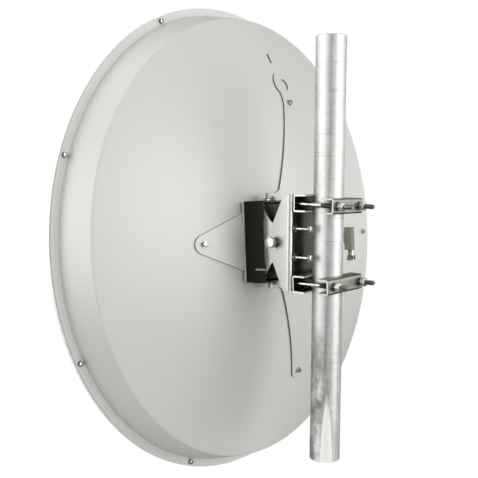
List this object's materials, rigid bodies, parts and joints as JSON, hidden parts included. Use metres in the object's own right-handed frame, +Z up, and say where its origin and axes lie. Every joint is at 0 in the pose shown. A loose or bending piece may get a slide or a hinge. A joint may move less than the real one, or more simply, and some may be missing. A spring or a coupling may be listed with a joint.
{
  "type": "parabolic dish antenna",
  "caption": "Shrouded parabolic microwave dish with a white radome on a length of tube mast, held by a folded steel bracket that tilts and swings the dish",
  "frame": {"origin": "the centre of the mast's lower end face", "axes": "+Z up along the mast; the dish looks towards -Y; +X is the side of the mast away from the dish's axis, on the left seen from behind"},
  "size_m": [0.921, 0.4242, 0.9198],
  "materials": {
    "galvanised_steel": "galvanised tube with fine scratches and soft blotches",
    "stainless_sheet": "folded sheet, finely brushed, with bright cut edges",
    "plated_bolts": "plated hexagon bolts and nuts with dark threads",
    "reflector_paint": "spun sheet with a warm light grey satin paint",
    "arm_paint": "the same warm light grey satin paint",
    "radome_plastic": "white moulded plastic",
    "adapter_grey": "grey coated block",
    "connector_plating": "bright plated connector with a thread"
  },
  "bodies": {
    "mast": {"mast_tube": "galvanised_steel", "mast_foot_plate": "galvanised_steel", "mast_bracket": "stainless_sheet", "clamp_channel_upper": "stainless_sheet", "clamp_channel_lower": "stainless_sheet", "clamp_saddle_upper": "stainless_sheet", "clamp_saddle_lower": "stainless_sheet", "clamp_bolt_upper_left": "plated_bolts", "clamp_nut_upper_left": "plated_bolts", "clamp_bolt_upper_right": "plated_bolts", "clamp_nut_upper_right": "plated_bolts", "clamp_bolt_lower_left": "plated_bolts", "clamp_nut_lower_left": "plated_bolts", "clamp_bolt_lower_right": "plated_bolts", "clamp_nut_lower_right": "plated_bolts", "web_bolt_upper": "plated_bolts", "web_bolt_lower": "plated_bolts", "pivot_bolt_left": "plated_bolts", "pivot_bolt_right": "plated_bolts", "pivot_spacer_left": "plated_bolts", "pivot_spacer_right": "plated_bolts"},
    "yoke": {"yoke": "stainless_sheet", "azimuth_bolt_top": "plated_bolts", "azimuth_bolt_bottom": "plated_bolts"},
    "dish": {"dish_bracket": "stainless_sheet", "arm_plate": "arm_paint", "reflector": "reflector_paint", "radome": "radome_plastic", "arm_screw_up": "plated_bolts", "arm_screw_left": "plated_bolts", "arm_screw_down": "plated_bolts", "arm_screw_right": "plated_bolts", "rim_screw_1": "plated_bolts", "rim_screw_2": "plated_bolts", "rim_screw_3": "plated_bolts", "rim_screw_4": "plated_bolts", "rim_screw_5": "plated_bolts", "rim_screw_6": "plated_bolts", "rim_screw_7": "plated_bolts", "rim_screw_8": "plated_bolts", "feed_tube": "reflector_paint", "feed_adapter": "adapter_grey", "feed_connector": "connector_plating"}
  },
  "joints": [
    {"name": "elevation", "type": "hinge", "parent": "mast", "child": "yoke", "pos_m": [0, -0.072, 0.3658], "axis": [1, 0, 0], "range_deg": [-18, 12]},
    {"name": "azimuth", "type": "hinge", "parent": "yoke", "child": "dish", "pos_m": [0, -0.11693, 0.36329], "axis": [0, -0.0558, 0.9984], "range_deg": [-6, 6]}
  ]
}
